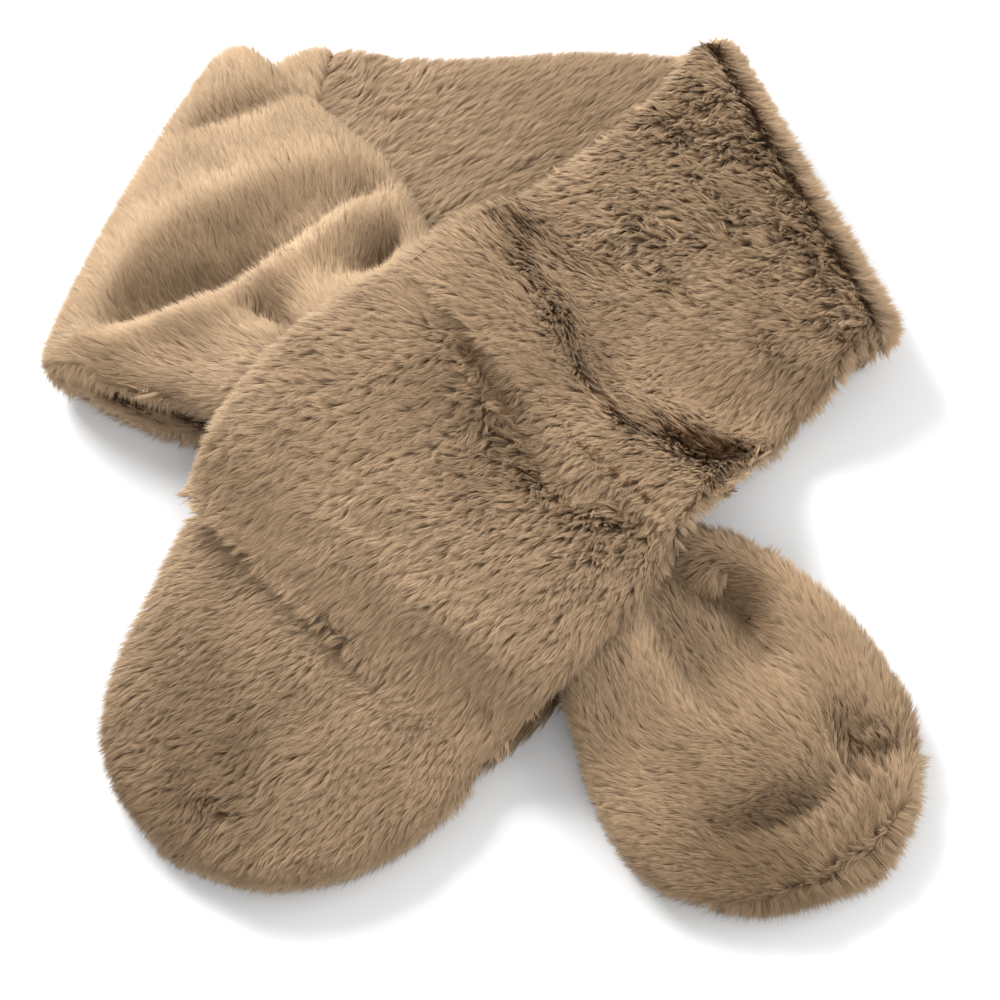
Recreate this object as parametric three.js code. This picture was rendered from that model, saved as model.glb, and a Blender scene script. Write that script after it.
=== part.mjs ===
// A fur collar wrap: a long plush scarf with rounded ends, laid flat and wound once round.
// The neck stretch lies at the back. Each side is folded over it, and the left side is pulled
// through a slot in the right side, so that the two rounded tails cross at the front.
// Every stretch is a flattened tube of two plush panels sewn together along both edges.
// Millimetres, +Z up, +Y towards the back of the neck. The wrap rests on z = 0.
import * as THREE from "three";

// Driving sizes
const BAND = 18; // thickness of the wrap: two panels with their pile, lying on each other
const PANEL = 9; // thickness of the slot's upper panel, where the slot parts the two
const PRESSED_PANEL = 7; // the slot's lower panel, pressed by what lies on it
const SEAM_GAP = 0.6; // between stretches that meet end to end
const LAYER_GAP = 1.5; // between stretches that lie on each other
const EDGE_ROUND = 9; // how far in from an edge the pile rounds down
const GROOVE = 2.4; // depth of the seam groove along an edge
const TURN_STEPS = 8; // sections round a fold
const SNUG = 14; // radius of the single panels where they hang over an edge below them
const LOOSE = 36; // radius of the whole band there
const CELL = 3; // grid of the height map that cloth is laid on
const SOFTENING = 2; // cells on each side that the laid surface is averaged over, twice
const FOLD_STEPS = 40; // places along a fold where its distance is measured
const FOLD_END = 0.12; // share of a fold at each end that has one and the same height
const FIELD = { left: -230, right: 230, front: -230, back: 270 }; // reach of the height map
const NARROWEST = 2.6; // a section under this many roundings in width has smaller roundings

// How finely a stretch is divided: the distance between its sections, and the points across one
const COARSE = { step: 12, across: 9 };
const PLAIN = { step: 8.5, across: 14 };
const FINE = { step: 6, across: 18 };

// Tables of sections. Each section runs from the back edge of the band (bx, by) to its front edge
// (fx, fy); its middle is pushed along the band by bow; thick is the height of the band there.

// The neck stretch, from its left fold to its right fold
const NECK = [
  { bx: -107, by: 213, fx: -174, fy: 52, bow: -5, thick: BAND },
  { bx: -93, by: 224, fx: -144, fy: 36, bow: -2, thick: BAND },
  { bx: -77, by: 229, fx: -110, fy: 33, bow: 0, thick: BAND },
  { bx: -45, by: 223, fx: -66, fy: 58, bow: 0, thick: BAND },
  { bx: -10, by: 223, fx: -22, fy: 76, bow: 0, thick: BAND },
  { bx: 30, by: 226, fx: 35, fy: 80, bow: 0, thick: BAND },
  { bx: 62, by: 225, fx: 90, fy: 78, bow: 0, thick: BAND },
  { bx: 77, by: 223, fx: 126, fy: 73, bow: 0, thick: BAND },
  { bx: 86, by: 219, fx: 152, fy: 67, bow: 0, thick: BAND },
];
const NECK_JOINTS = { left: 2, right: 7 }; // rows where the neck meets the two folded sides

// The right side, from its fold to the end of the slot
const RIGHT_SIDE = [
  { bx: 86, by: 219, fx: 152, fy: 67, bow: 0, thick: BAND },
  { bx: 71, by: 195, fx: 139, fy: 51, bow: 0, thick: BAND },
  { bx: 50, by: 173, fx: 122, fy: 33, bow: 0, thick: BAND },
  { bx: 24, by: 150, fx: 104, fy: 14, bow: 0, thick: 17 },
  { bx: -3, by: 126, fx: 87, fy: -5, bow: 0, thick: 15 },
  { bx: -38, by: 92, fx: 73, fy: -21, bow: 0, thick: 12 },
  { bx: -64, by: 74, fx: 61, fy: -43, bow: 0, thick: 10 },
  { bx: -88, by: 52, fx: 43, fy: -64, bow: 0, thick: PANEL },
  { bx: -107, by: 28, fx: 22, fy: -85, bow: 0, thick: PANEL },
  { bx: -123, by: 2, fx: -5, fy: -108, bow: 0, thick: PANEL },
];
const SLOT = { from: 5, to: 9 }; // rows where the slot's two seams run

// The left side, from its fold through the slot to the tip of the right-hand tail
const LEFT_SIDE = [
  { bx: -107, by: 213, fx: -174, fy: 52, bow: -5, thick: BAND },
  { bx: -88, by: 193, fx: -155, fy: 45, bow: -2, thick: 19 },
  { bx: -66, by: 170, fx: -135, fy: 39, bow: 0, thick: 20 },
  { bx: -44, by: 146, fx: -118, fy: 31, bow: 0, thick: 21 },
  { bx: -30, by: 120, fx: -104, fy: 17, bow: 0, thick: 22 },
  { bx: -14, by: 88, fx: -86, fy: -6, bow: 0, thick: 22 },
  { bx: 20, by: 40, fx: -50, fy: -36, bow: 0, thick: 22 },
  { bx: 48, by: 6, fx: -12, fy: -60, bow: 0, thick: 22 },
  { bx: 71, by: -11, fx: 19, fy: -75, bow: 0, thick: 22 },
  { bx: 87, by: -12, fx: 24, fy: -88, bow: 0, thick: 22 },
  { bx: 104, by: -18, fx: 29, fy: -103, bow: 0, thick: 21 },
  { bx: 119, by: -29, fx: 34, fy: -119, bow: 0, thick: 20 },
  { bx: 134, by: -44, fx: 41, fy: -135, bow: 0, thick: 20 },
  { bx: 148, by: -62, fx: 50, fy: -149, bow: 0, thick: 19 },
  { bx: 158, by: -81, fx: 63, fy: -158, bow: 0, thick: 18 },
  { bx: 162, by: -97, fx: 79, fy: -162, bow: 0, thick: 18 },
  { bx: 161, by: -113, fx: 94, fy: -164, bow: 0, thick: 17 },
  { bx: 157, by: -127, fx: 108, fy: -162, bow: 0, thick: 16 },
  { bx: 151, by: -139, fx: 121, fy: -158, bow: 0, thick: 13 },
  { bx: 143, by: -149, fx: 133, fy: -153, bow: 0, thick: 9 },
];
const LEFT_JOINT = 6; // row inside the slot where the left side becomes the right-hand tail

// The left-hand tail, from the slot's lower seam to its tip
const LEFT_TAIL = [
  { bx: -123, by: 2, fx: -5, fy: -108, bow: 0, thick: BAND },
  { bx: -133, by: -21, fx: -15, fy: -123, bow: 0, thick: BAND },
  { bx: -141, by: -42, fx: -30, fy: -137, bow: 0, thick: BAND },
  { bx: -149, by: -62, fx: -46, fy: -147, bow: 0, thick: BAND },
  { bx: -153, by: -81, fx: -63, fy: -153, bow: 0, thick: BAND },
  { bx: -153, by: -98, fx: -79, fy: -155, bow: 0, thick: BAND },
  { bx: -149, by: -112, fx: -92, fy: -155, bow: 0, thick: 17 },
  { bx: -142, by: -125, fx: -104, fy: -152, bow: 0, thick: 15 },
  { bx: -134, by: -134, fx: -115, fy: -148, bow: 0, thick: 12 },
  { bx: -128, by: -139, fx: -121, fy: -144, bow: 0, thick: 9 },
];

// Folds and hollows of the face: a bent ridge, or a trough if its height is below zero, from
// (x1, y1) through its middle (xm, ym) to (x2, y2)
const NECK_FOLDS = [
  { x1: -76, y1: 226, xm: -74, ym: 208, x2: -73, y2: 188, width: 7, height: -4 },
  { x1: -66, y1: 224, xm: -62, ym: 204, x2: -60, y2: 180, width: 10, height: 2 },
];
const RIGHT_FOLDS = [
  { x1: -40, y1: 92, xm: 18, ym: 36, x2: 74, y2: -20, width: 11, height: -3 },
  { x1: 38, y1: 68, xm: 48, ym: 50, x2: 58, y2: 33, width: 8, height: -3 },
  { x1: 26, y1: 120, xm: 78, ym: 104, x2: 136, y2: 92, width: 20, height: 2 },
];
const SLOT_FOLDS = [
  { x1: -40, y1: 90, xm: 16, ym: 32, x2: 72, y2: -22, width: 11, height: -5 },
  { x1: -78, y1: 40, xm: -36, ym: 0, x2: 22, y2: -42, width: 22, height: 3 },
  { x1: -124, y1: 1, xm: -66, ym: -53, x2: -6, y2: -107, width: 8, height: -2 },
];
const LEFT_TAIL_FOLDS = [
  { x1: -124, y1: 1, xm: -66, ym: -53, x2: -6, y2: -107, width: 8, height: -2 },
];
const LEFT_FOLDS = [
  { x1: -168, y1: 72, xm: -122, ym: 131, x2: -50, y2: 149, width: 13, height: 5 },
  { x1: -150, y1: 92, xm: -108, ym: 115, x2: -56, y2: 138, width: 9, height: -10 },
  { x1: -106, y1: 90, xm: -74, ym: 119, x2: -48, y2: 118, width: 12, height: 7 },
  { x1: -64, y1: 93, xm: -52, ym: 99, x2: -42, y2: 108, width: 8, height: -8 },
  { x1: -100, y1: 80, xm: -88, ym: 76, x2: -76, y2: 70, width: 8, height: -7 },
  { x1: -172, y1: 66, xm: -122, ym: 76, x2: -92, y2: 52, width: 12, height: 4 },
  { x1: -145, y1: 165, xm: -118, ym: 177, x2: -88, y2: 186, width: 6, height: -3 },
];
const RIGHT_TAIL_FOLDS = [
  { x1: 72, y1: -20, xm: 120, ym: -36, x2: 155, y2: -84, width: 13, height: 5 },
  { x1: 62, y1: -30, xm: 90, ym: -36, x2: 104, y2: -60, width: 9, height: -8 },
  { x1: 70, y1: -46, xm: 84, ym: -60, x2: 97, y2: -76, width: 15, height: -5 },
  { x1: 47, y1: -46, xm: 59, ym: -77, x2: 86, y2: -94, width: 13, height: 4 },
  { x1: 82, y1: -132, xm: 120, ym: -121, x2: 134, y2: -93, width: 7, height: -5 },
  { x1: 137, y1: -109, xm: 146, ym: -104, x2: 158, y2: -100, width: 6, height: -5 },
];

// The rim of a section where it meets an edge: how far in, and how high from the lower face
const BAND_RIM = [
  { inset: EDGE_ROUND, rise: 0 },
  { inset: 0.3 * EDGE_ROUND, rise: 0.09 },
  { inset: 0, rise: 0.27 },
  { inset: GROOVE, rise: 0.5 },
  { inset: 0, rise: 0.73 },
  { inset: 0.3 * EDGE_ROUND, rise: 0.91 },
  { inset: EDGE_ROUND, rise: 1 },
];
const PANEL_RIM = [
  { inset: 0.6 * EDGE_ROUND, rise: 0 },
  { inset: 0.12 * EDGE_ROUND, rise: 0.2 },
  { inset: 0, rise: 0.5 },
  { inset: 0.12 * EDGE_ROUND, rise: 0.8 },
  { inset: 0.6 * EDGE_ROUND, rise: 1 },
];

const mix = (a, b, t) => a + (b - a) * t;
const clamp = THREE.MathUtils.clamp;

// A row between the rows of a table, on a smooth curve through every column
function rowAt(rows, place) {
  const first = clamp(Math.floor(place), 0, rows.length - 2);
  const t = place - first;
  const near = [-1, 0, 1, 2].map((k) => rows[clamp(first + k, 0, rows.length - 1)]);
  const made = {};
  for (const name of Object.keys(near[1])) {
    const [a, b, c, d] = near.map((row) => row[name]);
    const slopeIn = (c - a) / 2;
    const slopeOut = (d - b) / 2;
    const bend = 2 * (b - c) + slopeIn + slopeOut;
    made[name] = b + t * (slopeIn + t * (3 * (c - b) - 2 * slopeIn - slopeOut + t * bend));
  }
  return made;
}

// Places along a table, evenly spaced in millimetres on its middle line, ends included
function places(rows, from, to, step) {
  const fine = 200;
  const at = (k) => rowAt(rows, mix(from, to, k / fine));
  const middle = (row) => new THREE.Vector2((row.bx + row.fx) / 2, (row.by + row.fy) / 2);
  const run = [0];
  for (let k = 1; k <= fine; k++) {
    run.push(run[k - 1] + middle(at(k)).distanceTo(middle(at(k - 1))));
  }
  const count = Math.max(1, Math.round(run[fine] / step));
  const found = [];
  for (let i = 0, k = 0; i <= count; i++) {
    const goal = (run[fine] * i) / count;
    while (k < fine - 1 && run[k + 1] < goal) k++;
    const part = (goal - run[k]) / (run[k + 1] - run[k]);
    found.push(mix(from, to, (k + part) / fine));
  }
  return found;
}

// How high the ground of earlier stretches stands, on a square grid
class Ground {
  constructor() {
    this.columns = Math.ceil((FIELD.right - FIELD.left) / CELL) + 1;
    this.rows = Math.ceil((FIELD.back - FIELD.front) / CELL) + 1;
    this.height = new Float64Array(this.columns * this.rows);
  }

  // Raises the grid to the top of a mesh's triangles
  add(geometry) {
    const at = geometry.getAttribute("position");
    const index = geometry.getIndex();
    const corner = [0, 1, 2].map(() => new THREE.Vector3());
    for (let i = 0; i < index.count; i += 3) {
      corner.forEach((p, k) => p.fromBufferAttribute(at, index.getX(i + k)));
      this.raise(...corner);
    }
    return this;
  }

  // Raises the grid to the top of one triangle
  raise(a, b, c) {
    const area = (b.x - a.x) * (c.y - a.y) - (c.x - a.x) * (b.y - a.y);
    if (Math.abs(area) < 1e-9) return;
    const column = (x) => (x - FIELD.left) / CELL;
    const row = (y) => (y - FIELD.front) / CELL;
    const firstColumn = Math.ceil(column(Math.min(a.x, b.x, c.x)));
    const lastColumn = Math.floor(column(Math.max(a.x, b.x, c.x)));
    const firstRow = Math.ceil(row(Math.min(a.y, b.y, c.y)));
    const lastRow = Math.floor(row(Math.max(a.y, b.y, c.y)));
    for (let r = firstRow; r <= lastRow; r++) {
      for (let q = firstColumn; q <= lastColumn; q++) {
        const x = FIELD.left + q * CELL;
        const y = FIELD.front + r * CELL;
        const wb = ((x - a.x) * (c.y - a.y) - (c.x - a.x) * (y - a.y)) / area;
        const wc = ((b.x - a.x) * (y - a.y) - (x - a.x) * (b.y - a.y)) / area;
        if (wb < 0 || wc < 0 || wb + wc > 1) continue;
        const z = a.z + wb * (b.z - a.z) + wc * (c.z - a.z);
        const k = r * this.columns + q;
        this.height[k] = Math.max(this.height[k], z);
      }
    }
  }

  // Runs a one-dimensional filter along the grid's rows, then along its columns
  sweep(source, filter) {
    const pass = (values, count, step, lines, lineStep) => {
      const out = new Float64Array(values.length);
      for (let line = 0; line < lines; line++) {
        for (let k = 0; k < count; k++) {
          const read = (j) => values[line * lineStep + clamp(j, 0, count - 1) * step];
          out[line * lineStep + k * step] = filter(read, k);
        }
      }
      return out;
    };
    const across = pass(source, this.columns, 1, this.rows, this.columns);
    return pass(across, this.rows, this.columns, this.columns, 1);
  }

  // Cloth laid on the ground: it clears every top by the layer gap and bends round the radius
  cloth(radius) {
    const lifted = this.height.map((z) => (z > 0 ? z + LAYER_GAP : 0));
    const tallest = lifted.reduce((a, b) => Math.max(a, b));
    const reach = Math.ceil(Math.sqrt(2 * radius * tallest) / CELL);
    const bent = this.sweep(lifted, (read, k) => {
      let best = 0;
      for (let j = -reach; j <= reach; j++) {
        const drop = (Math.max(0, Math.abs(j) - 1) * CELL) ** 2 / (2 * radius);
        best = Math.max(best, read(k + j) - drop);
      }
      return best;
    });
    const soft = this.blur(bent, SOFTENING);
    return this.reader(soft.map((z, k) => Math.max(z, lifted[k])));
  }

  // The grid averaged twice over a few cells on each side
  blur(values, reach) {
    const mean = (read, k) => {
      let sum = 0;
      for (let j = -reach; j <= reach; j++) sum += read(k + j);
      return sum / (2 * reach + 1);
    };
    return this.sweep(this.sweep(values, mean), mean);
  }

  // A function of a place that reads the grid between its points
  reader(values) {
    return (x, y) => {
      const q = clamp((x - FIELD.left) / CELL, 0, this.columns - 1.001);
      const r = clamp((y - FIELD.front) / CELL, 0, this.rows - 1.001);
      const [q0, r0] = [Math.floor(q), Math.floor(r)];
      const read = (j, i) => values[(r0 + i) * this.columns + q0 + j];
      const front = mix(read(0, 0), read(1, 0), q - q0);
      const back = mix(read(0, 1), read(1, 1), q - q0);
      return mix(front, back, r - r0);
    };
  }
}

// How far a table of folds lifts or sinks the face at a place
function relief(folds, x, y) {
  const bent = (from, through, to, t) => {
    const pull = 2 * through - (from + to) / 2;
    return (1 - t) ** 2 * from + 2 * t * (1 - t) * pull + t * t * to;
  };
  let sum = 0;
  for (const fold of folds) {
    let nearest = Infinity;
    let where = 0;
    for (let k = 0; k <= FOLD_STEPS; k++) {
      const t = k / FOLD_STEPS;
      const far = Math.hypot(
        x - bent(fold.x1, fold.xm, fold.x2, t),
        y - bent(fold.y1, fold.ym, fold.y2, t),
      );
      if (far < nearest) [nearest, where] = [far, t];
    }
    const fade = Math.sqrt(Math.sin(Math.PI * clamp(where, FOLD_END, 1 - FOLD_END)));
    sum += fold.height * fade * Math.exp(-((nearest / fold.width) ** 2));
  }
  return sum;
}

// The points of a section in order: place across from 0, the back edge, to 1, and rise from 0 to 1
function sectionPoints(rim, width, across) {
  const points = [];
  const room = rim[0].inset / width;
  const under = Math.ceil(across / 2);
  rim.forEach((p) => points.push({ across: p.inset / width, rise: p.rise }));
  for (let k = 1; k < across; k++) {
    points.push({ across: mix(room, 1 - room, k / across), rise: 1 });
  }
  rim
    .slice()
    .reverse()
    .forEach((p) => points.push({ across: 1 - p.inset / width, rise: p.rise }));
  for (let k = under - 1; k > 0; k--) {
    points.push({ across: mix(room, 1 - room, k / under), rise: 0 });
  }
  return points;
}

const widthOf = (row) => Math.hypot(row.fx - row.bx, row.fy - row.by);

// The place on a row at a share of the way across, with the row's bow
function planOf(row, across) {
  const push = (4 * across * (1 - across) * row.bow) / widthOf(row);
  return [
    mix(row.bx, row.fx, across) + push * (row.by - row.fy),
    mix(row.by, row.fy, across) + push * (row.fx - row.bx),
  ];
}

// A ring of points round one section, between a lower and an upper surface
function ringOf(row, rim, across, lower, upper) {
  const width = Math.max(widthOf(row), NARROWEST * rim[0].inset);
  return sectionPoints(rim, width, across).map((p) => {
    const [x, y] = planOf(row, p.across);
    return new THREE.Vector3(x, y, mix(lower(x, y, row), upper(x, y, row), p.rise));
  });
}

// Rings round a fold whose upper layer starts at the row: they turn from the lower layer to it
function turnRings(row, outward, rim, across) {
  const rings = [];
  for (let k = 1; k < TURN_STEPS; k++) {
    const turn = Math.PI * (1 - k / TURN_STEPS);
    const ring = sectionPoints(rim, widthOf(row), across).map((p) => {
      const [x, y] = planOf(row, p.across);
      const radius = LAYER_GAP / 2 + p.rise * BAND;
      const out = radius * Math.sin(turn);
      return new THREE.Vector3(
        x + out * outward.x,
        y + out * outward.y,
        BAND + LAYER_GAP / 2 + radius * Math.cos(turn),
      );
    });
    rings.push(ring);
  }
  return rings;
}

// The flat face over a ring, as triangles that go round it forwards or backwards
function capOf(ring, forwards) {
  const size = ring.length;
  const from = ring[0];
  const reach = (p) => Math.hypot(p.x - from.x, p.y - from.y);
  const far = ring.reduce((a, p) => (reach(p) > reach(a) ? p : a));
  const outline = ring.map(
    (p) =>
      new THREE.Vector2(
        ((p.x - from.x) * (far.x - from.x) + (p.y - from.y) * (far.y - from.y)) / reach(far),
        p.z,
      ),
  );
  const triangles = THREE.ShapeUtils.triangulateShape(outline, []);
  const goesForwards = triangles.some((t) => t.some((i, k) => (i + 1) % size === t[(k + 1) % 3]));
  return goesForwards === forwards ? triangles : triangles.map((t) => t.slice().reverse());
}

// A closed mesh through rings of equal length, with a flat face over each end
function loft(rings) {
  const size = rings[0].length;
  const points = rings.flat();
  const faces = [];
  for (let i = 0; i + 1 < rings.length; i++) {
    for (let k = 0; k < size; k++) {
      const [a, b] = [i * size + k, i * size + ((k + 1) % size)];
      const [c, d] = [a + size, b + size];
      const straight = points[a].distanceTo(points[d]) < points[b].distanceTo(points[c]);
      faces.push(...(straight ? [a, b, d, a, d, c] : [a, b, c, b, d, c]));
    }
  }
  const last = points.length - size;
  faces.push(...capOf(rings[0], false).flat());
  faces.push(...capOf(rings[rings.length - 1], true).flat().map((i) => i + last));
  let volume = 0;
  for (let i = 0; i < faces.length; i += 3) {
    const [a, b, c] = [0, 1, 2].map((k) => points[faces[i + k]]);
    volume += a.dot(new THREE.Vector3().crossVectors(b, c));
  }
  if (volume < 0) {
    for (let i = 0; i < faces.length; i += 3) {
      [faces[i + 1], faces[i + 2]] = [faces[i + 2], faces[i + 1]];
    }
  }
  return new THREE.BufferGeometry().setFromPoints(points).setIndex(faces);
}

// The rings of a stretch laid on a surface, between two places of its table
function laidRings(rows, span, rim, grain, lower, thick, folds) {
  const upper = (x, y, row) => lower(x, y) + thick(row) + relief(folds, x, y);
  return places(rows, span.from, span.to, grain.step).map((place) =>
    ringOf(rowAt(rows, place), rim, grain.across, lower, upper),
  );
}

// The rings of a lower layer on the floor, with its outside face down
function lowerRings(rows, span, grain) {
  return places(rows, span.from, span.to, grain.step).map((place) =>
    ringOf(rowAt(rows, place), BAND_RIM, grain.across, () => BAND, () => 0),
  );
}

// Draws the first or last ring back by half the seam gap, so that neighbours don't touch
function parted(rings, atStart, atEnd) {
  const pull = (ring, next) => {
    ring.forEach((p, k) => {
      const step = new THREE.Vector3().subVectors(next[k], p);
      const far = step.length();
      if (far > SEAM_GAP) p.addScaledVector(step, SEAM_GAP / 2 / far);
    });
  };
  if (atStart) pull(rings[0], rings[1]);
  if (atEnd) pull(rings[rings.length - 1], rings[rings.length - 2]);
  return rings;
}

// The way out of a fold, level and square to it
function outwardOf(row, inside) {
  const out = new THREE.Vector2(row.by - row.fy, row.fx - row.bx).normalize();
  const away = new THREE.Vector2((row.bx + row.fx) / 2, (row.by + row.fy) / 2).sub(inside);
  return out.dot(away) < 0 ? out.negate() : out;
}

const floor = () => 0;
const ownThickness = (row) => row.thick;
const neckMiddle = new THREE.Vector2(0, 150);
const spanOf = (rows) => ({ from: 0, to: rows.length - 1 });

// The neck stretch, on the floor. What is laid on it feels it whole, fold to fold.
const neckRings = (span) =>
  laidRings(NECK, span, BAND_RIM, COARSE, floor, ownThickness, NECK_FOLDS);
const wholeNeck = loft(neckRings(spanOf(NECK)));
const neck = loft(
  parted(neckRings({ from: NECK_JOINTS.left, to: NECK_JOINTS.right }), true, true),
);

// The slot's lower panel, under the crossing
const overNeck = new Ground().add(wholeNeck).cloth(SNUG);
const base = loft(
  parted(
    laidRings(RIGHT_SIDE, SLOT, PANEL_RIM, PLAIN, overNeck, () => PRESSED_PANEL, []),
    true,
    true,
  ),
);

// The left side: its lower layer, its fold, and its upper layer into the slot
const overBase = new Ground().add(wholeNeck).add(base).cloth(LOOSE);
const leftRings = (from, to, folds) =>
  laidRings(LEFT_SIDE, { from, to }, BAND_RIM, FINE, overBase, ownThickness, folds);
const leftFront = loft(
  parted(
    [
      ...lowerRings(NECK, { from: NECK_JOINTS.left, to: 0 }, FINE),
      ...turnRings(LEFT_SIDE[0], outwardOf(LEFT_SIDE[0], neckMiddle), BAND_RIM, FINE.across),
      ...leftRings(0, LEFT_JOINT, LEFT_FOLDS),
    ],
    true,
    true,
  ),
);

// The right-hand tail, out of the slot
const rightTail = loft(
  parted(leftRings(LEFT_JOINT, LEFT_SIDE.length - 1, RIGHT_TAIL_FOLDS), true, false),
);

// The slot's upper panel, over the crossing
const underneath = new Ground().add(wholeNeck).add(leftFront).add(rightTail);
const overRight = underneath.cloth(LOOSE);
const overCrossing = underneath.add(base).cloth(SNUG);
const cover = loft(
  parted(
    laidRings(RIGHT_SIDE, SLOT, PANEL_RIM, PLAIN, overCrossing, ownThickness, SLOT_FOLDS),
    true,
    true,
  ),
);

// The right side: its lower layer, its fold, and its upper layer down to the slot
const upperRight = { from: 0, to: SLOT.from };
const rightFront = loft(
  parted(
    [
      ...lowerRings(NECK, { from: NECK_JOINTS.right, to: NECK.length - 1 }, PLAIN),
      ...turnRings(RIGHT_SIDE[0], outwardOf(RIGHT_SIDE[0], neckMiddle), BAND_RIM, PLAIN.across),
      ...laidRings(RIGHT_SIDE, upperRight, BAND_RIM, PLAIN, overRight, ownThickness, RIGHT_FOLDS),
    ],
    true,
    true,
  ),
);

// The left-hand tail, on from the slot's lower seam
const leftTail = loft(
  parted(
    laidRings(
      LEFT_TAIL,
      spanOf(LEFT_TAIL),
      BAND_RIM,
      FINE,
      floor,
      ownThickness,
      LEFT_TAIL_FOLDS,
    ),
    true,
    false,
  ),
);

// The whole wrap, with its origin on the floor under the middle of its outline
const plush = new THREE.MeshStandardMaterial({ color: 0x9c8264, roughness: 0.95, metalness: 0 });
const part = new THREE.Group();
for (const [name, geometry] of Object.entries({
  neck_stretch: neck,
  left_front: leftFront,
  right_front: rightFront,
  slot_base: base,
  slot_cover: cover,
  left_tail: leftTail,
  right_tail: rightTail,
})) {
  const mesh = new THREE.Mesh(geometry, plush.clone());
  mesh.name = name;
  part.add(mesh);
}
const middle = new THREE.Box3().setFromObject(part).getCenter(new THREE.Vector3());
part.children.forEach((mesh) => mesh.position.set(-middle.x, -middle.y, 0));

export default part;
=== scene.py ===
"""A plush pull-through scarf, laid flat and wound once round.

Two long panels with their pile outside are sewn to each other all round. The band is folded over
at both sides, and its left side goes through a slot in its right side. The tables hold sizes in
millimetres, from the middle of the outline on the surface that the scarf lies on.
"""

import logging
import math
from dataclasses import dataclass, field
from enum import Enum

import bmesh
import bpy
import numpy as np
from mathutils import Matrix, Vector
from mathutils.bvhtree import BVHTree
from mathutils.kdtree import KDTree


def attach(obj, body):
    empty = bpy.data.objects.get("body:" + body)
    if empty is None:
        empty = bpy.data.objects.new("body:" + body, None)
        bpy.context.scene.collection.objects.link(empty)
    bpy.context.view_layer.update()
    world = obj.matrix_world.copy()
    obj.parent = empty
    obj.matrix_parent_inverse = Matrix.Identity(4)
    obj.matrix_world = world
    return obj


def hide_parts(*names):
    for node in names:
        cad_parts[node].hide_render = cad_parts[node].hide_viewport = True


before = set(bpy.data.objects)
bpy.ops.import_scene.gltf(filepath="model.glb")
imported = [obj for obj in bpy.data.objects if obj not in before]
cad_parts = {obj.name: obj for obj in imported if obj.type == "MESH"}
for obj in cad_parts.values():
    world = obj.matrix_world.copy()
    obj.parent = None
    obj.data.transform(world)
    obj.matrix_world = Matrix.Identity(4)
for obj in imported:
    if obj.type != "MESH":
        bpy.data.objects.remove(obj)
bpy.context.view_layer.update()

MM = 0.001
HAIRS_PER_PIECE = 190000
LOG = logging.getLogger("scarf")

Array = np.ndarray
Row = tuple[float, ...]


class Hold(Enum):
    """How a stretch of the band lies."""

    LAID = "laid"
    FOLDED = "folded"
    GATHERED = "gathered"
    DRAPED = "draped"


class FurSlot(Enum):
    """The finish that a stretch takes."""

    NECK = "neck_fur"
    LEFT = "left_fur"
    RIGHT = "right_fur"


# ---- finishes ----


@dataclass(frozen=True)
class PileFinish:
    """The colour of the pile, from its roots, darkened with painted shade for the depth of the pile, to
    its light tips.

    Attributes:
        root: colour at the backing, darkened as painted shade for the depth of the pile.
        middle: colour halfway up, partly darkened as painted shade.
        tip: colour of the tips.
        spread: how far the tone changes the brightness, for the hairs' random differences and for
            painted light and shade.
        warmth: what the darkest hairs' colour is multiplied by, which warms the painted shade.
        sheen: strength of the soft gloss of fine fibres.
        roughness: roughness of the fibres.
    """

    root: Row = (0.180, 0.112, 0.060)
    middle: Row = (0.360, 0.242, 0.143)
    tip: Row = (0.560, 0.396, 0.246)
    spread: float = 0.60
    warmth: Row = (1.06, 0.96, 0.80)
    sheen: float = 0.12
    roughness: float = 0.65

    def material(self, name: str) -> bpy.types.Material:
        """Makes the material of the hairs.

        Args:
            name: the material's name.

        Returns:
            A material whose colour follows a hair's tone, with its painted light and shade, and the
            height on it, darker at the roots as painted shade.
        """
        made = bpy.data.materials.new(name)
        made.use_nodes = True
        nodes, links = made.node_tree.nodes, made.node_tree.links
        shader = nodes["Principled BSDF"]
        shader.inputs["Roughness"].default_value = self.roughness
        shader.inputs["Specular IOR Level"].default_value = 0.25
        shader.inputs["Sheen Weight"].default_value = self.sheen
        shader.inputs["Sheen Roughness"].default_value = 0.45
        shader.inputs["Sheen Tint"].default_value = (1.0, 0.9, 0.78, 1.0)
        place = nodes.new("ShaderNodeUVMap")
        place.uv_map = "OFBake"
        parts = nodes.new("ShaderNodeSeparateXYZ")
        links.new(place.outputs["UV"], parts.inputs["Vector"])
        low, high = 1.0 - self.spread, 1.0 + self.spread * 0.7
        # Tone 0 takes the darker, warmer ramp and tone 1 the lighter one; the low tones mostly carry
        # painted shade.
        dark = self._ramp(nodes, tuple(low * share for share in self.warmth))
        light = self._ramp(nodes, (high, high, high))
        links.new(parts.outputs["Y"], dark.inputs["Fac"])
        links.new(parts.outputs["Y"], light.inputs["Fac"])
        mixed = nodes.new("ShaderNodeMix")
        mixed.data_type = "RGBA"
        links.new(parts.outputs["X"], mixed.inputs[0])
        links.new(dark.outputs["Color"], mixed.inputs[6])
        links.new(light.outputs["Color"], mixed.inputs[7])
        links.new(mixed.outputs[2], shader.inputs["Base Color"])
        return made

    def _ramp(self, nodes: bpy.types.Nodes, brightness: Row) -> bpy.types.Node:
        """Makes the root to tip colours at one brightness.

        Args:
            nodes: the material's nodes.
            brightness: what the colours are multiplied by.

        Returns:
            The ramp's node.
        """
        ramp = nodes.new("ShaderNodeValToRGB")
        points = ramp.color_ramp.elements
        points[0].position, points[1].position = 0.10, 0.95
        halfway = points.new(0.48)
        for point, colour in ((points[0], self.root), (halfway, self.middle), (points[2], self.tip)):
            point.color = (*(min(1.0, c * b) for c, b in zip(colour, brightness)), 1.0)
        return ramp


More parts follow.
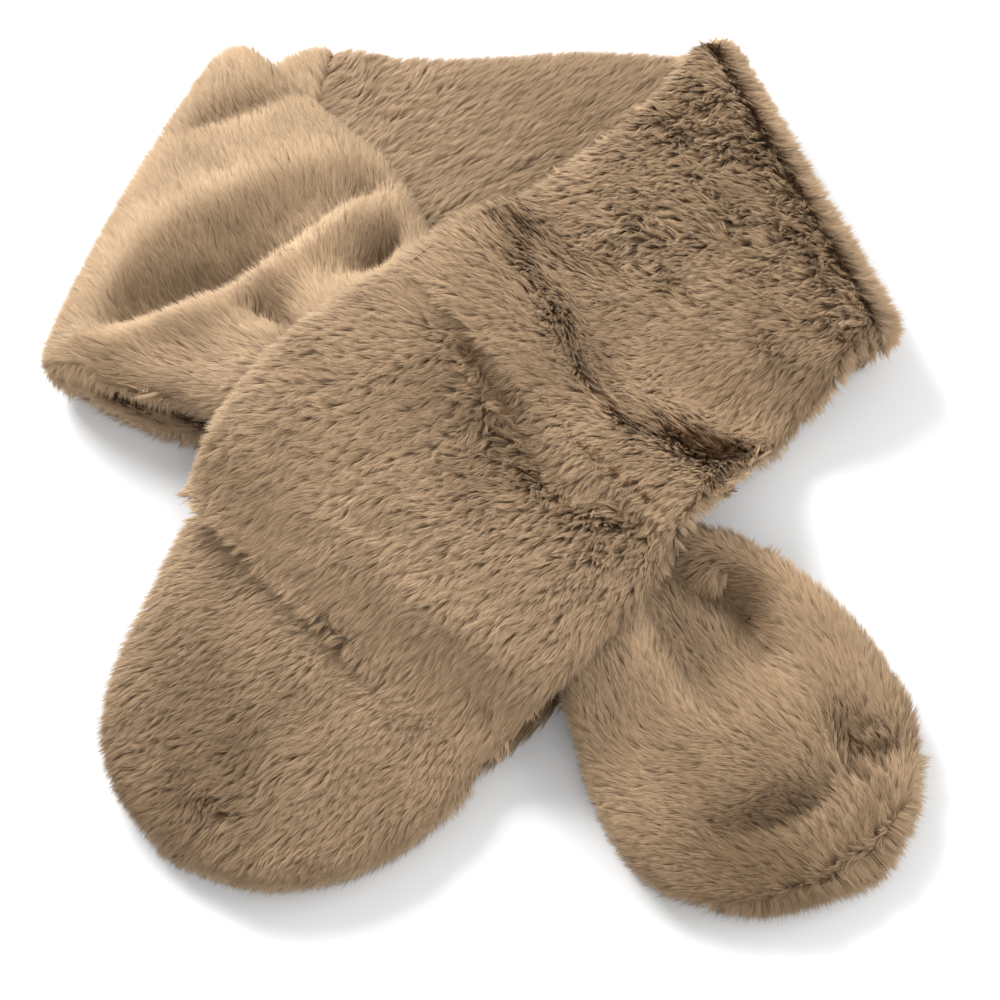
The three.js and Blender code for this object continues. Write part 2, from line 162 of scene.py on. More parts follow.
@dataclass(frozen=True)
class BackingFinish:
    """The dense underfur close to the backing, which shows between the tufts.

    Attributes:
        dark: colour of the gaps, the backing's brown deepened as painted shade.
        light: colour of the underfur.
        grain: how many tufts there are to a metre.
        relief: height of the underfur's bumps in metres.
    """

    dark: Row = (0.060, 0.034, 0.017)
    light: Row = (0.210, 0.130, 0.070)
    grain: float = 420.0
    relief: float = 0.0012

    def material(self, name: str) -> bpy.types.Material:
        """Makes the material of the backing.

        Args:
            name: the material's name.

        Returns:
            A bumpy, soft material, mottled with painted shade in its gaps.
        """
        made = bpy.data.materials.new(name)
        made.use_nodes = True
        nodes, links = made.node_tree.nodes, made.node_tree.links
        shader = nodes["Principled BSDF"]
        shader.inputs["Roughness"].default_value = 0.9
        shader.inputs["Specular IOR Level"].default_value = 0.1
        shader.inputs["Sheen Weight"].default_value = 0.1
        shader.inputs["Sheen Tint"].default_value = (1.0, 0.85, 0.7, 1.0)
        place = nodes.new("ShaderNodeTexCoord")
        stretch = nodes.new("ShaderNodeMapping")
        stretch.inputs["Scale"].default_value = (1.0, 0.6, 1.0)
        links.new(place.outputs["Object"], stretch.inputs["Vector"])
        tufts = nodes.new("ShaderNodeTexNoise")
        tufts.inputs["Scale"].default_value = self.grain
        tufts.inputs["Detail"].default_value = 4.0
        links.new(stretch.outputs["Vector"], tufts.inputs["Vector"])
        ramp = nodes.new("ShaderNodeValToRGB")
        ends = ramp.color_ramp.elements
        # The dark end of the mottle is painted shade in the gaps between the tufts.
        ends[0].position, ends[0].color = 0.32, (*self.dark, 1.0)
        ends[1].position, ends[1].color = 0.72, (*self.light, 1.0)
        links.new(tufts.outputs["Fac"], ramp.inputs["Fac"])
        links.new(ramp.outputs["Color"], shader.inputs["Base Color"])
        bump = nodes.new("ShaderNodeBump")
        bump.inputs["Distance"].default_value = self.relief
        links.new(tufts.outputs["Fac"], bump.inputs["Height"])
        links.new(bump.outputs["Normal"], shader.inputs["Normal"])
        return made


@dataclass(frozen=True)
class Finishes:
    """The finished materials, one pair for each slot."""

    pile: dict[FurSlot, bpy.types.Material]
    backing: dict[FurSlot, bpy.types.Material]

    @classmethod
    def mixed(cls) -> "Finishes":
        """Makes the materials of all slots."""
        return cls(
            pile={slot: PileFinish().material(f"{slot.value}_pile") for slot in FurSlot},
            backing={slot: BackingFinish().material(f"{slot.value}_backing") for slot in FurSlot},
        )


# ---- fields over the surface ----


@dataclass(frozen=True)
class Ripple:
    """A smooth random change over space, the sum of a few waves.

    Attributes:
        length: the usual distance from crest to crest, in millimetres.
        seed: what the waves are drawn from.
        waves: how many waves there are.
    """

    length: float
    seed: int
    waves: int = 9

    def at(self, points: Array) -> Array:
        """Reads the ripple.

        Args:
            points: places in millimetres.

        Returns:
            One value for each place, mostly from -1 to 1.
        """
        draw = np.random.default_rng(self.seed)
        ways = draw.normal(size=(self.waves, 3))
        ways /= np.linalg.norm(ways, axis=1, keepdims=True)
        pitch = math.tau / (self.length * draw.uniform(0.7, 1.6, self.waves))
        start = draw.uniform(0, math.tau, self.waves)
        return np.sin(points @ (ways * pitch[:, None]).T + start).sum(1) / math.sqrt(self.waves)


@dataclass(frozen=True)
class Comb:
    """Which way the tips of the pile point over a stretch.

    Attributes:
        strokes: rows of x, y and bearing in degrees, anticlockwise from +X.
        reach: how softly one stroke blends into the next, in millimetres.
    """

    strokes: tuple[Row, ...]
    reach: float = 12.0

    def bearings(self, points: Array) -> Array:
        """Reads the combed direction.

        Args:
            points: places in millimetres.

        Returns:
            One bearing for each place, in radians.
        """
        table = np.array(self.strokes, float)
        turned = np.radians(table[:, 2])
        ways = np.stack([np.cos(turned), np.sin(turned)], 1)
        away = ((points[:, None, :2] - table[None, :, :2]) ** 2).sum(2) + self.reach**2
        way = (away**-2.0) @ ways
        return np.arctan2(way[:, 1], way[:, 0])


@dataclass(frozen=True)
class Trace:
    """A line on the plan with what it adds near it.

    Attributes:
        line: its points, as pairs of x and y.
        left: how far it reaches to its left, looking along it.
        right: how far it reaches to its right.
        amount: what it adds on the line: millimetres of height, or a share of tone, which is painted
            light above zero and painted shade below it.
    """

    line: tuple[Row, ...]
    left: float
    right: float
    amount: float

    def nearness(self, points: Array) -> Array:
        """Measures how near places are to the line.

        Args:
            points: places in millimetres.

        Returns:
            A value for each place, from 0, far off, to 1, on the line.
        """
        knots = np.array(self.line, float)
        start, step = knots[:-1], np.diff(knots, axis=0)
        runs = np.linalg.norm(step, axis=1)
        along = ((points[:, None, :2] - start) * step).sum(2) / runs**2
        along = np.clip(along, 0, 1)
        gaps = points[:, None, :2] - (start + along[..., None] * step)
        far = np.linalg.norm(gaps, axis=2)
        first = far.argmin(1)
        rows = np.arange(len(points))
        gap, nearest = gaps[rows, first], far[rows, first]
        side = step[first, 0] * gap[:, 1] - step[first, 1] * gap[:, 0]
        width = np.where(side > 0, self.left, self.right)
        share = np.cumsum(runs)[first] - runs[first] * (1 - along[rows, first])
        fade = np.sqrt(np.sin(math.pi * np.clip(share / runs.sum(), 0.06, 0.94)))
        return np.exp(-((nearest / width) ** 2)) * fade


@dataclass(frozen=True)
class Patch:
    """A round soft place of painted light and shade in the pile's tone, where the pile may also be
    brushed up.

    Attributes:
        x: its middle, towards +X.
        y: its middle, towards +Y.
        reach: how far it reaches.
        tone: the painted light that it adds to the tone, below zero where it is painted shade.
        ruffle: how much the pile stands up in disorder there, from 0 to 1.
    """

    x: float
    y: float
    reach: float
    tone: float
    ruffle: float = 0.0

    def nearness(self, points: Array) -> Array:
        """Measures how near places are to the patch, from 0 to 1."""
        away = (points[:, 0] - self.x) ** 2 + (points[:, 1] - self.y) ** 2
        return np.exp(-away / self.reach**2)


# ---- surfaces ----


@dataclass
class Surface:
    """The face of a stretch, in millimetres, with its hidden ends open.

    Attributes:
        points: corners on the outside of the pile.
        roots: the same corners on the backing.
        normals: outward unit vectors at the corners.
        triangles: corner numbers of the triangles.
        mesh: the mesh of the outside, in metres.
    """

    points: Array
    roots: Array
    normals: Array
    triangles: Array
    mesh: bpy.types.Mesh


def open_hidden_ends(
    shape: bmesh.types.BMesh, least_area: float = 5.0e-4, lap: float = 2.5e-3
) -> None:
    """Opens the upright flat ends where a stretch meets the next one, and laps the cloth over it.

    Args:
        shape: the closed shape of a stretch, in metres.
        least_area: the smallest area of such an end, in square metres.
        lap: how far the cloth goes on past the end, in metres.
    """
    left = set(shape.faces)
    ends: list[list[bmesh.types.BMFace]] = []
    while left:
        patch = [left.pop()]
        for face in patch:
            for edge in face.edges:
                for other in edge.link_faces:
                    if other in left and other.normal.dot(face.normal) > 0.9995:
                        left.remove(other)
                        patch.append(other)
        area = sum(face.calc_area() for face in patch)
        if area > least_area and abs(patch[0].normal.z) < 0.05:
            ends.append(patch)
    for patch in ends:
        outward, inside = patch[0].normal.copy(), set(patch)
        around = {e for face in patch for e in face.edges if not inside.issuperset(e.link_faces)}
        bmesh.ops.delete(shape, geom=patch, context="FACES_ONLY")
        grown = bmesh.ops.extrude_edge_only(shape, edges=list(around))["geom"]
        corners = [item for item in grown if isinstance(item, bmesh.types.BMVert)]
        bmesh.ops.translate(shape, verts=corners, vec=outward * lap)
    loose = [edge for edge in shape.edges if not edge.link_faces]
    bmesh.ops.delete(shape, geom=loose, context="EDGES")


def rounded(node: str, levels: int) -> bpy.types.Mesh:
    """Copies a stretch's solid, opens its hidden ends and smooths it.

    Args:
        node: name of the solid.
        levels: how often each face is divided.

    Returns:
        The smooth mesh, in metres.
    """
    shape = bmesh.new()
    shape.from_mesh(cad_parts[node].data)
    bmesh.ops.remove_doubles(shape, verts=shape.verts, dist=2e-6)
    shape.normal_update()
    open_hidden_ends(shape)
    bmesh.ops.join_triangles(
        shape, faces=shape.faces, angle_face_threshold=0.9, angle_shape_threshold=1.2
    )
    coarse = bpy.data.meshes.new(f"{node}_coarse")
    shape.to_mesh(coarse)
    shape.free()
    holder = bpy.data.objects.new(f"{node}_coarse", coarse)
    bpy.context.scene.collection.objects.link(holder)
    divide = holder.modifiers.new("divide", "SUBSURF")
    divide.levels = divide.render_levels = levels
    graph = bpy.context.evaluated_depsgraph_get()
    smooth = bpy.data.meshes.new_from_object(holder.evaluated_get(graph))
    bpy.data.objects.remove(holder)
    bpy.data.meshes.remove(coarse)
    return smooth


def read_points(mesh: bpy.types.Mesh) -> Array:
    """Reads a mesh's corners in millimetres."""
    found = np.empty(len(mesh.vertices) * 3, np.float32)
    mesh.vertices.foreach_get("co", found)
    return found.reshape(-1, 3).astype(float) / MM


def write_points(mesh: bpy.types.Mesh, points: Array) -> None:
    """Writes a mesh's corners from millimetres."""
    mesh.vertices.foreach_set("co", (points * MM).astype(np.float32).ravel())
    mesh.update()


def read_normals(mesh: bpy.types.Mesh) -> Array:
    """Reads the smooth unit vectors at a mesh's corners."""
    found = np.empty(len(mesh.vertices) * 3, np.float32)
    mesh.vertex_normals.foreach_get("vector", found)
    return found.reshape(-1, 3).astype(float)


def read_triangles(mesh: bpy.types.Mesh) -> Array:
    """Reads a mesh's faces as triangles."""
    mesh.calc_loop_triangles()
    found = np.empty(len(mesh.loop_triangles) * 3, np.int32)
    mesh.loop_triangles.foreach_get("vertices", found)
    return found.reshape(-1, 3)


def tree_of(points: Array, triangles: Array) -> BVHTree:
    """Makes the search tree of a surface."""
    return BVHTree.FromPolygons(points.tolist(), triangles.tolist())


def unit(vectors: Array) -> Array:
    """Scales vectors to the length 1."""
    return vectors / np.maximum(np.linalg.norm(vectors, axis=-1, keepdims=True), 1e-9)


# ---- the pile ----


@dataclass(frozen=True)
class Pile:
    """Sizes of the pile, in millimetres.

    Attributes:
        depth: from the tips down to the backing.
        under_depth: the same on the underside, where the pile is pressed.
        length: length of a hair.
        width: width of a hair at its root.
        tufts: tufts to a square millimetre where the pile is seen.
        shaded: share of the tufts that is left where another stretch hangs over it.
        under: the same on the underside.
        hidden: the same where another stretch lies on it.
        hairs: hairs in a tuft.
        tuft_size: how far apart the roots of a tuft are.
        clump_size: how far apart the clumps are that the tufts lean together in.
        pull: how far the tufts of a clump lean together, from 0 to 1.
        covered: a face with another stretch this near above it is hidden.
        overhung: a face with another stretch this near above it is shaded.
    """

    depth: float = 4.4
    under_depth: float = 3.0
    length: float = 8.8
    width: float = 0.42
    tufts: float = 0.73
    shaded: float = 0.18
    under: float = 0.04
    hidden: float = 0.03
    hairs: int = 8
    tuft_size: float = 0.58
    clump_size: float = 2.4
    pull: float = 0.06
    covered: float = 9.0
    overhung: float = 35.0


@dataclass
class Hairs:
    """The hairs of a stretch.

    Attributes:
        corners: three corners of each, in millimetres, the last one its tip.
        normals: unit vectors at the corners.
        tones: how light each is, from 0 to 1, with random changes and painted light and shade.
        bases: how far up the pile's colours each begins, from 0 to 1; higher on bare rims, which lose
            the painted root shade.
    """

    corners: Array
    normals: Array
    tones: Array
    bases: Array

    def part(self, chosen: slice) -> "Hairs":
        """Takes some of the hairs."""
        kept = (self.corners, self.normals, self.tones, self.bases)
        return Hairs(*(values[chosen] for values in kept))

    def mesh(self, name: str) -> bpy.types.Mesh:
        """Makes the mesh of the hairs.

        Args:
            name: the mesh's name.

        Returns:
            A mesh of narrow blades, each a triangle that ends in the hair's tip.
        """
        count = len(self.corners)
        made = bpy.data.meshes.new(name)
        made.vertices.add(count * 3)
        made.vertices.foreach_set("co", (self.corners * MM).astype(np.float32).ravel())
        made.loops.add(count * 3)
        made.polygons.add(count)
        made.polygons.foreach_set("loop_start", np.arange(0, count * 3, 3, dtype=np.int32))
        made.loops.foreach_set("vertex_index", np.arange(count * 3, dtype=np.int32))
        made.update(calc_edges=True)
        square = np.empty((count, 3, 2), np.float32)
        # U is the tone, with its painted light and shade; V runs up the hair from the painted shade at
        # the root to the tip.
        square[:, :, 0] = np.clip(self.tones, 0.02, 0.98)[:, None] + [0.012, -0.012, 0.0]
        square[:, :2, 1] = self.bases[:, None]
        square[:, 2, 1] = 0.98
        made.uv_layers.new(name="OFBake").data.foreach_set("uv", square.ravel())
        made.polygons.foreach_set("use_smooth", np.ones(count, bool))
        made.normals_split_custom_set_from_vertices(self.normals.reshape(-1, 3).tolist())
        return made


@dataclass
class Stretch:
    """One stretch of the band: a backing of cloth with its pile.

    Attributes:
        node: name of the solid that it dresses.
        slot: the finish that it takes.
        hold: how it lies, not used.
        flat: width all round and length of its cut, in metres, not used.
        rests_on: the stretches that it lies on, not used.
        strokes: which way the pile is combed.
        creases: soft troughs and ridges of the cloth.
        painted_shading: lines of painted light and painted shade along the creases, rims and seams.
        shaded_partings: short lines where the pile stands up in clumps, with painted shade in their
            openings.
        patches: places with painted light and painted shade, some also brushed up.
        rough: how much the pile is brushed up all over, from 0 to 1.
        seed: what its random changes are drawn from.
        pile: sizes of the pile.
    """

    node: str
    slot: FurSlot
    hold: Hold
    flat: tuple[float, float]
    rests_on: tuple[str, ...]
    strokes: tuple[Row, ...]
    creases: tuple[Trace, ...] = ()
    painted_shading: tuple[Trace, ...] = ()
    shaded_partings: tuple[Trace, ...] = ()
    patches: tuple[Patch, ...] = ()
    rough: float = 0.05
    seed: int = 1
    pile: Pile = field(default_factory=Pile)

    def surface(self, levels: int) -> Surface:
        """Makes the smooth outside of the stretch and the backing under it.

        Args:
            levels: how often each face of the solid is divided.

        Returns:
            The surface, with its creases.
        """
        mesh = rounded(self.node, levels)
        points, normals = read_points(mesh), read_normals(mesh)
        upper = np.clip((normals[:, 2] - 0.1) / 0.5, 0, 1)
        for crease in self.creases:
            points[:, 2] += crease.nearness(points) * crease.amount * upper
        write_points(mesh, points)
        normals, triangles = read_normals(mesh), read_triangles(mesh)
        inside = tree_of(points, triangles)
        wanted = np.where(normals[:, 2] < -0.5, self.pile.under_depth, self.pile.depth)
        room = np.empty(len(points))
        for k, (point, normal) in enumerate(zip(points, normals)):
            inward = Vector(-normal)
            far = inside.ray_cast(Vector(point) + inward * 0.05, inward, 60.0)[3]
            room[k] = 60.0 if far is None else far
        roots = points - normals * np.minimum(wanted, 0.38 * room)[:, None]
        roots[:, 2] = np.maximum(roots[:, 2], 1.6)
        return Surface(points, roots, normals, triangles, mesh)

    def backing(self, finishes: Finishes, levels: int = 1) -> bpy.types.Object:
        """Makes the thin cloth that carries the pile.

        Args:
            finishes: the materials.
            levels: how often each face of the solid is divided.

        Returns:
            The backing, a thin shell that is open at its hidden ends.
        """
        found = self.surface(levels)
        write_points(found.mesh, found.roots)
        found.mesh.name = f"{self.node}_backing"
        piece = bpy.data.objects.new(f"{self.node}_backing", found.mesh)
        bpy.context.scene.collection.objects.link(piece)
        wall = piece.modifiers.new("wall", "SOLIDIFY")
        wall.thickness, wall.offset = 1.2 * MM, -1.0
        graph = bpy.context.evaluated_depsgraph_get()
        piece.data = bpy.data.meshes.new_from_object(piece.evaluated_get(graph))
        piece.modifiers.clear()
        piece.data.materials.clear()
        piece.data.materials.append(finishes.backing[self.slot])
        piece.data.polygons.foreach_set("use_smooth", np.ones(len(piece.data.polygons), bool))
        return piece

    def hairs(self, others: BVHTree) -> Hairs:
        """Plants the pile.

        Args:
            others: search tree of the other stretches.

        Returns:
            The hairs of the whole stretch.
        """
        pile, draw = self.pile, np.random.default_rng(self.seed)
        found = self.surface(2)
        corners = found.points[found.triangles]
        cross = np.cross(corners[:, 1] - corners[:, 0], corners[:, 2] - corners[:, 0])
        area = np.linalg.norm(cross, axis=1) / 2
        facing = cross / np.maximum(2 * area, 1e-9)[:, None]
        wanted = np.where(facing[:, 2] > -0.3, 1.0, pile.under)
        own = tree_of(found.points, found.triangles)
        for k, (place, way) in enumerate(zip(corners.mean(1), facing)):
            way = Vector(way)
            start = Vector(place) + way * 0.3
            if way.z > 0.1:
                way = Vector((0.0, 0.0, 1.0))
            gaps = [tree.ray_cast(start, way, pile.overhung)[3] for tree in (others, own)]
            above = min((gap for gap in gaps if gap is not None), default=None)
            if above is not None:
                wanted[k] = min(wanted[k], pile.hidden if above < pile.covered else pile.shaded)
        total = np.cumsum(area * wanted * pile.tufts)
        count = int(total[-1])
        face = np.searchsorted(total, (np.arange(count) + draw.random(count)) * total[-1] / count)
        face = np.minimum(face, len(total) - 1)
        u, v = np.sqrt(draw.random(count)), draw.random(count)
        share = np.stack([1 - u, u * (1 - v), u * v], 1)[:, :, None]
        chosen = found.triangles[face]
        outer = (found.points[chosen] * share).sum(1)
        roots = (found.roots[chosen] * share).sum(1)
        up = unit((found.normals[chosen] * share).sum(1))
        return self._grown(roots, outer, up, found, others, draw)

    def _tone_painted_light_and_ruffle(self, outer: Array) -> tuple[Array, Array]:
        """Reads the pile's tone, with its painted light and painted shade, and how much it is brushed
        up.

        Args:
            outer: places on the outside of the pile.

        Returns:
            The tone, about 0.5, with its random changes and painted light and shade, and the ruffle,
            from 0 to 1, at each place.
        """
        tone = 0.5 + 0.05 * Ripple(26.0, self.seed + 14).at(outer)
        ruffle = self.rough + 0.08 * Ripple(30.0, self.seed + 15).at(outer)
        # Patches add painted light and painted shade to the tone.
        for patch in self.patches:
            near = patch.nearness(outer)
            tone += patch.tone * near
            ruffle += patch.ruffle * near
        # Lines of painted light and painted shade along the creases, rims and seams.
        for shade in self.painted_shading:
            tone += shade.amount * shade.nearness(outer)
        # Partings stand up in clumps with painted shade in their openings.
        shaded_openings = 0.5 + 0.5 * Ripple(6.5, self.seed + 16).at(outer)
        for parting in self.shaded_partings:
            near = parting.nearness(outer) * np.clip(shaded_openings * 1.6, 0, 1)
            tone += parting.amount * near
            ruffle += 0.9 * near
        return tone, np.clip(ruffle, 0, 1)

    def _grown(
        self,
        roots: Array,
        outer: Array,
        up: Array,
        found: Surface,
        others: BVHTree,
        draw: np.random.Generator,
    ) -> Hairs:
        """Grows the tufts from their roots.

        Args:
            roots: where the tufts stand on the backing.
            outer: the same places on the outside of the pile.
            up: outward unit vectors there.
            found: the stretch's surface.
            others: search tree of the other stretches.
            draw: the source of the random changes.

        Returns:
            The hairs of all tufts.
        """
        pile, count = self.pile, len(roots)
        tone, ruffle = self._tone_painted_light_and_ruffle(outer)
        bearing = Comb(self.strokes).bearings(outer)
        clumps = self._clumps(roots, draw)
        swirl = (7 + 8 * ruffle) * Ripple(22.0, self.seed + 11).at(outer)
        swirl += (5 + 9 * ruffle) * Ripple(7.0, self.seed + 12).at(outer)
        swirl += draw.normal(0, 1, count)[clumps] * (2 + 16 * ruffle)
        bearing += np.radians(swirl + draw.normal(0, 1, count) * (5 + 7 * ruffle))
        flat = np.stack([np.cos(bearing), np.sin(bearing)], 1)
        bare = self._bare(outer, flat, (tree_of(found.points, found.triangles), others))
        turn = (np.arctan2(up[:, 1], up[:, 0]) - bearing) % (2 * np.pi)
        bearing += bare * np.where(turn > 1.35 * np.pi, turn - 2 * np.pi, turn)
        flat = np.stack([np.cos(bearing), np.sin(bearing)], 1)
        against = (flat * up[:, :2]).sum(1)
        lay = np.concatenate([flat, (-0.2 - (0.9 - 0.5 * bare) * against)[:, None]], 1)
        depth = np.linalg.norm(outer - roots, axis=1) * (1 + 0.3 * bare)
        uneven = 0.05 * Ripple(9.0, self.seed + 13).at(outer) + draw.normal(0, 0.05, count)
        rise = depth * (1 + uneven + ruffle * draw.uniform(-0.55, 0.30, count)[clumps])
        length = pile.length * (1 + draw.normal(0, 0.13, count)) * (1 - 0.30 * ruffle)
        ahead = unit(lay - up * (lay * up).sum(1)[:, None])
        run = np.sqrt(np.maximum(length**2 - rise**2, 4.0))
        tips = roots + up * rise[:, None] + ahead * run[:, None]
        same = (up * up[clumps]).sum(1) > 0.6
        pull = (pile.pull + 0.50 * ruffle) * draw.uniform(0.4, 1.6, count) * same
        tips += (tips[clumps] - tips) * np.clip(pull, 0, 0.9)[:, None]
        tips, laid = self._laid_down(tips, found, 0.9 + 1.2 * ruffle + 1.8 * bare)
        tone += draw.normal(0, 1, count)[clumps] * (0.02 + 0.10 * ruffle)
        tone += draw.normal(0, 0.03, count)
        return self._split(roots, tips, up, laid, tone, ruffle, bare, draw)

    def _bare(
        self, outer: Array, flat: Array, trees: tuple[BVHTree, ...], back: float = 6.0
    ) -> Array:
        """Finds the rims where no pile from behind lies over the roots.

        Args:
            outer: places on the outside of the pile.
            flat: which way the pile points there, on the plan.
            trees: search trees of all the stretches.
            back: how far behind a place the pile would come from, in millimetres.

        Returns:
            A value from 0, covered from behind, to 1, on a rim.
        """
        down = Vector((0.0, 0.0, -1.0))
        behind = np.zeros(len(outer))
        for k, (place, way) in enumerate(zip(outer, flat)):
            start = Vector((place[0] - back * way[0], place[1] - back * way[1], place[2] + 12.0))
            for tree in trees:
                hit = tree.ray_cast(start, down, 90.0)[0]
                if hit is not None:
                    behind[k] = max(behind[k], hit.z)
        return np.clip((outer[:, 2] - behind - 3.0) / 5.0, 0, 1)

    def _clumps(self, roots: Array, draw: np.random.Generator) -> Array:
        """Gathers the tufts in clumps.

        Args:
            roots: the tufts' roots.
            draw: the source of the random changes.

        Returns:
            For each tuft, the number of the tuft that its clump leans towards.
        """
        share = 1.0 / (self.pile.tufts * self.pile.clump_size**2)
        seeds = np.flatnonzero(draw.random(len(roots)) < share)
        tree = KDTree(len(seeds))
        for k, seed in enumerate(seeds):
            tree.insert(roots[seed], k)
        tree.balance()
        return seeds[np.array([tree.find(root)[1] for root in roots])]

    def _laid_down(self, tips: Array, found: Surface, proud: Array) -> tuple[Array, Array]:
        """Lays tips that stand out past the surface down on it.

        Args:
            tips: the tufts' tips.
            found: the stretch's surface.
            proud: how far each tip may stand out, in millimetres.

        Returns:
            The tips, moved, and the outward unit vectors where they are.
        """
        tree = tree_of(found.points, found.triangles)
        held, ways = tips.copy(), np.empty_like(tips)
        for k, tip in enumerate(tips):
            place, way, _, _ = tree.find_nearest(Vector(tip))
            over = (Vector(tip) - place).dot(way) - proud[k]
            ways[k] = way
            if over > 0:
                held[k] -= np.array(way) * over
        return held, ways

    def _split(
        self,
        roots: Array,
        tips: Array,
        up: Array,
        laid: Array,
        tone: Array,
        ruffle: Array,
        bare: Array,
        draw: np.random.Generator,
    ) -> Hairs:
        """Splits each tuft into its hairs, which lean together where it is brushed up.

        Args:
            roots: the tufts' roots.
            tips: the tufts' tips.
            up: outward unit vectors at the roots.
            laid: outward unit vectors at the tips.
            tone: how light the tufts are, from 0 to 1, with their painted light and shade.
            ruffle: how much the pile is brushed up.
            bare: how bare the roots are.
            draw: the source of the random changes.

        Returns:
            The hairs.
        """
        pile, each = self.pile, self.pile.hairs
        roots, tips, up, laid, tone, ruffle, bare = (
            np.repeat(values, each, axis=0)
            for values in (roots, tips, up, laid, tone, ruffle, bare)
        )
        count = len(roots)
        ahead = unit(tips - roots)
        across = unit(np.cross(up, ahead))
        aside = draw.normal(0, 1, count)
        spread = across * (aside * pile.tuft_size)[:, None]
        spread += ahead * draw.normal(0, 1.2 * pile.tuft_size, count)[:, None]
        slide = ahead * draw.normal(0, 1.1, count)[:, None]
        lift = laid * (draw.normal(0, 0.18, count) - 0.10 * aside**2)[:, None]
        tips = tips + spread * (1.0 - 0.75 * ruffle)[:, None] + slide + lift
        roots = roots + spread
        over = (np.cross(ahead, across) * (up + laid)).sum(1)
        half = across * (pile.width / 2 * draw.uniform(0.7, 1.3, count) * np.sign(over))[:, None]
        corners = np.stack([roots + half, roots - half, tips], axis=1)
        corners[:, :, 2] = np.maximum(corners[:, :, 2], 0.3)
        tilt = across * (0.26 * aside)[:, None] + draw.normal(0, 0.05, (count, 3))
        tilt[:, 2] += 0.7 * bare
        low, high = unit(up + tilt), unit(laid + tilt - 0.12 * ahead)
        normals = np.stack([low, low, high], axis=1)
        tones = tone + draw.normal(0, 0.05, count)
        # Hairs on bare rims begin higher up the ramp, which takes the painted root shade off them.
        return Hairs(corners, normals, tones, 0.02 + 0.55 * bare)

    def build(self, finishes: Finishes) -> list[bpy.types.Object]:
        """Makes the stretch and declares its pieces.

        Args:
            finishes: the materials.

        Returns:
            The backing, then the meshes of the pile.
        """
        backing = self.backing(finishes)
        hairs = self.hairs(self._others())
        pieces = [backing]
        parts = math.ceil(len(hairs.corners) / HAIRS_PER_PIECE)
        for k in range(parts):
            name = f"{self.node}_pile_{k + 1}"
            mesh = hairs.part(slice(k, None, parts)).mesh(name)
            mesh.materials.append(finishes.pile[self.slot])
            piece = bpy.data.objects.new(name, mesh)
            bpy.context.scene.collection.objects.link(piece)
            pieces.append(piece)
        for piece in pieces:
            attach(piece, "root")
        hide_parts(self.node)
        LOG.info(
            "%s: %d faces of backing, %d hairs in %d pieces",
            self.node,
            len(backing.data.polygons),
            len(hairs.corners),
            parts,
        )
        return pieces

    def _others(self) -> BVHTree:
        """Makes the search tree of all the other stretches' solids."""
        points: list[Array] = []
        triangles: list[Array] = []
        start = 0
        for name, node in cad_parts.items():
            if name != self.node:
                points.append(read_points(node.data))
                triangles.append(read_triangles(node.data) + start)
                start += len(points[-1])
        return tree_of(np.concatenate(points), np.concatenate(triangles))


# ---- the stretches ----


@dataclass
class NeckStretch(Stretch):
    """The stretch that goes round the neck, laid on the surface at the back."""

    node: str = "neck_stretch"
    slot: FurSlot = FurSlot.NECK
    hold: Hold = Hold.LAID
    flat: tuple[float, float] = (0.33, 0.22)
    rests_on: tuple[str, ...] = ()
    rough: float = 0.08
    seed: int = 21
    strokes: tuple[Row, ...] = (
        (-60, 185, 24), (-25, 185, 30), (20, 185, 30), (65, 185, 33), (110, 185, 34), (-11, 148, 22),
        (20, 127, 14), (38, 148, 26), (64, 158, 32), (91, 164, 40),
    )
    creases: tuple[Trace, ...] = (
        Trace(((-62, 190), (-58, 168), (-46, 150)), 5, 4, -2.5),
        Trace(((-52, 192), (-46, 172)), 6, 5, 1.5),
    )
    # The patches' tones are painted shade over the middle of the stretch.
    patches: tuple[Patch, ...] = (
        Patch(-35, 160, 22, 0.02, 0.25),
        Patch(30, 160, 60, -0.17, 0.05),
        Patch(30, 128, 16, -0.04, 0.15),
    )


